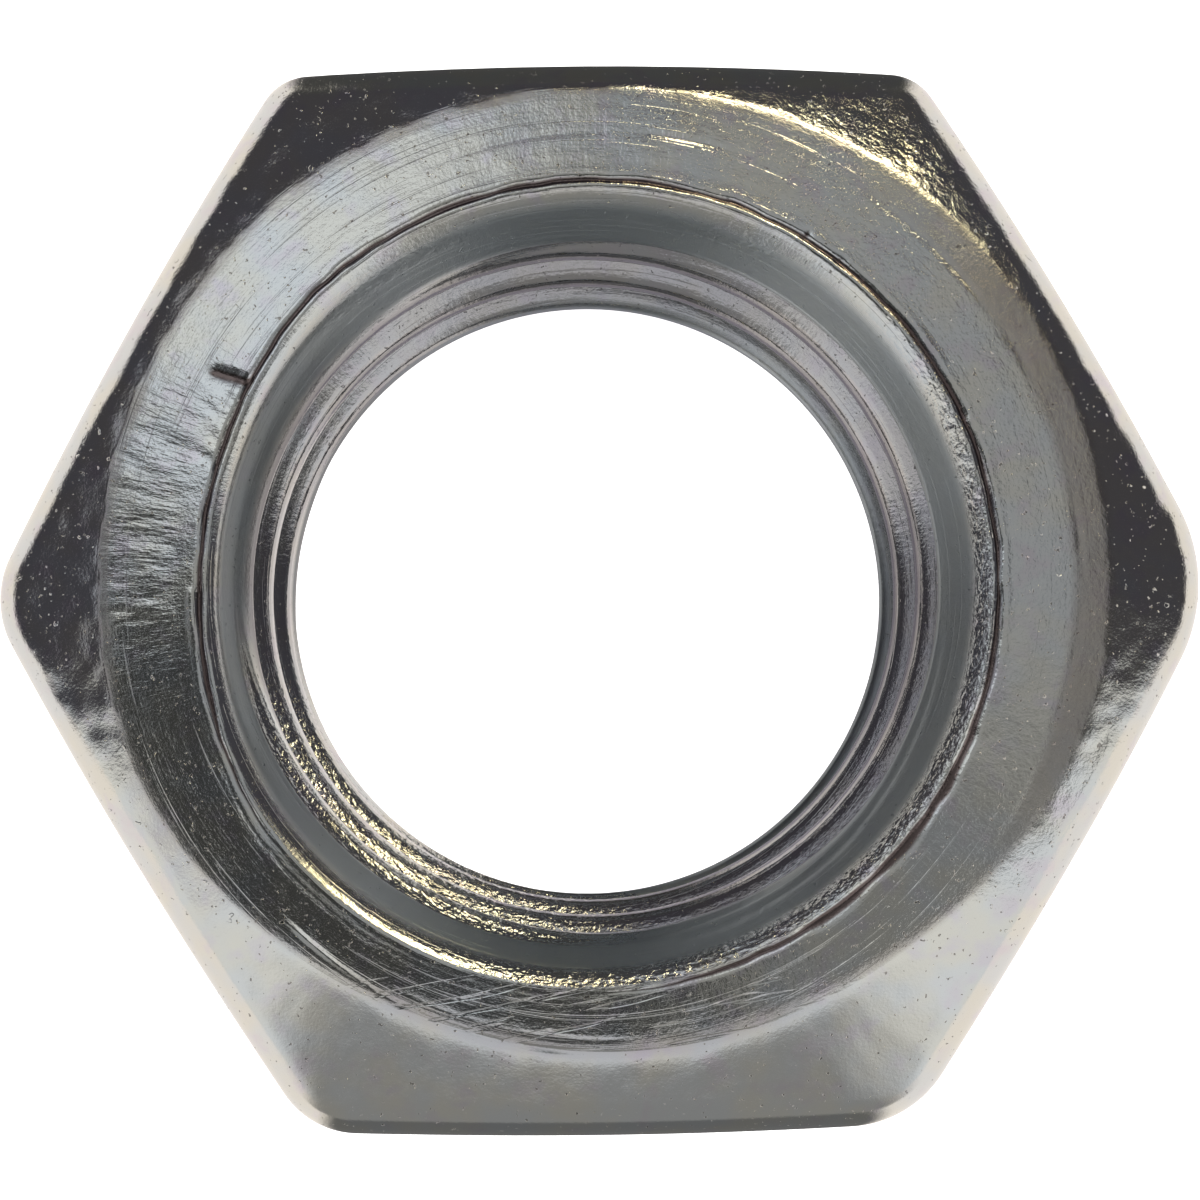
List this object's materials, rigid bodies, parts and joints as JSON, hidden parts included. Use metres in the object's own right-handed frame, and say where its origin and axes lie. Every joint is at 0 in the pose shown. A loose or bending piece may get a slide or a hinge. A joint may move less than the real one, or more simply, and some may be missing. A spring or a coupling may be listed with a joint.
{
  "type": "hexagon nut",
  "caption": "Thin zinc-plated steel hexagon nut with a right-hand fine thread, rounded forged edges and a countersunk bore; locks or clamps parts on a threaded tube or bolt.",
  "frame": {"origin": "on the thread axis, in the plane of the rear bearing face, so that the nut lies flat on z = 0", "axes": "+Z along the thread axis from the rear bearing face to the front one, +X towards one of the six corners, +Y square to a wrench flat"},
  "size_m": [0.0158, 0.014, 0.0035],
  "materials": {
    "zinc_plated_steel": "bright zinc plating over turned and forged steel, semi-gloss with fine scratches"
  },
  "bodies": {
    "root": {"hex_nut": "zinc_plated_steel"}
  },
  "joints": []
}
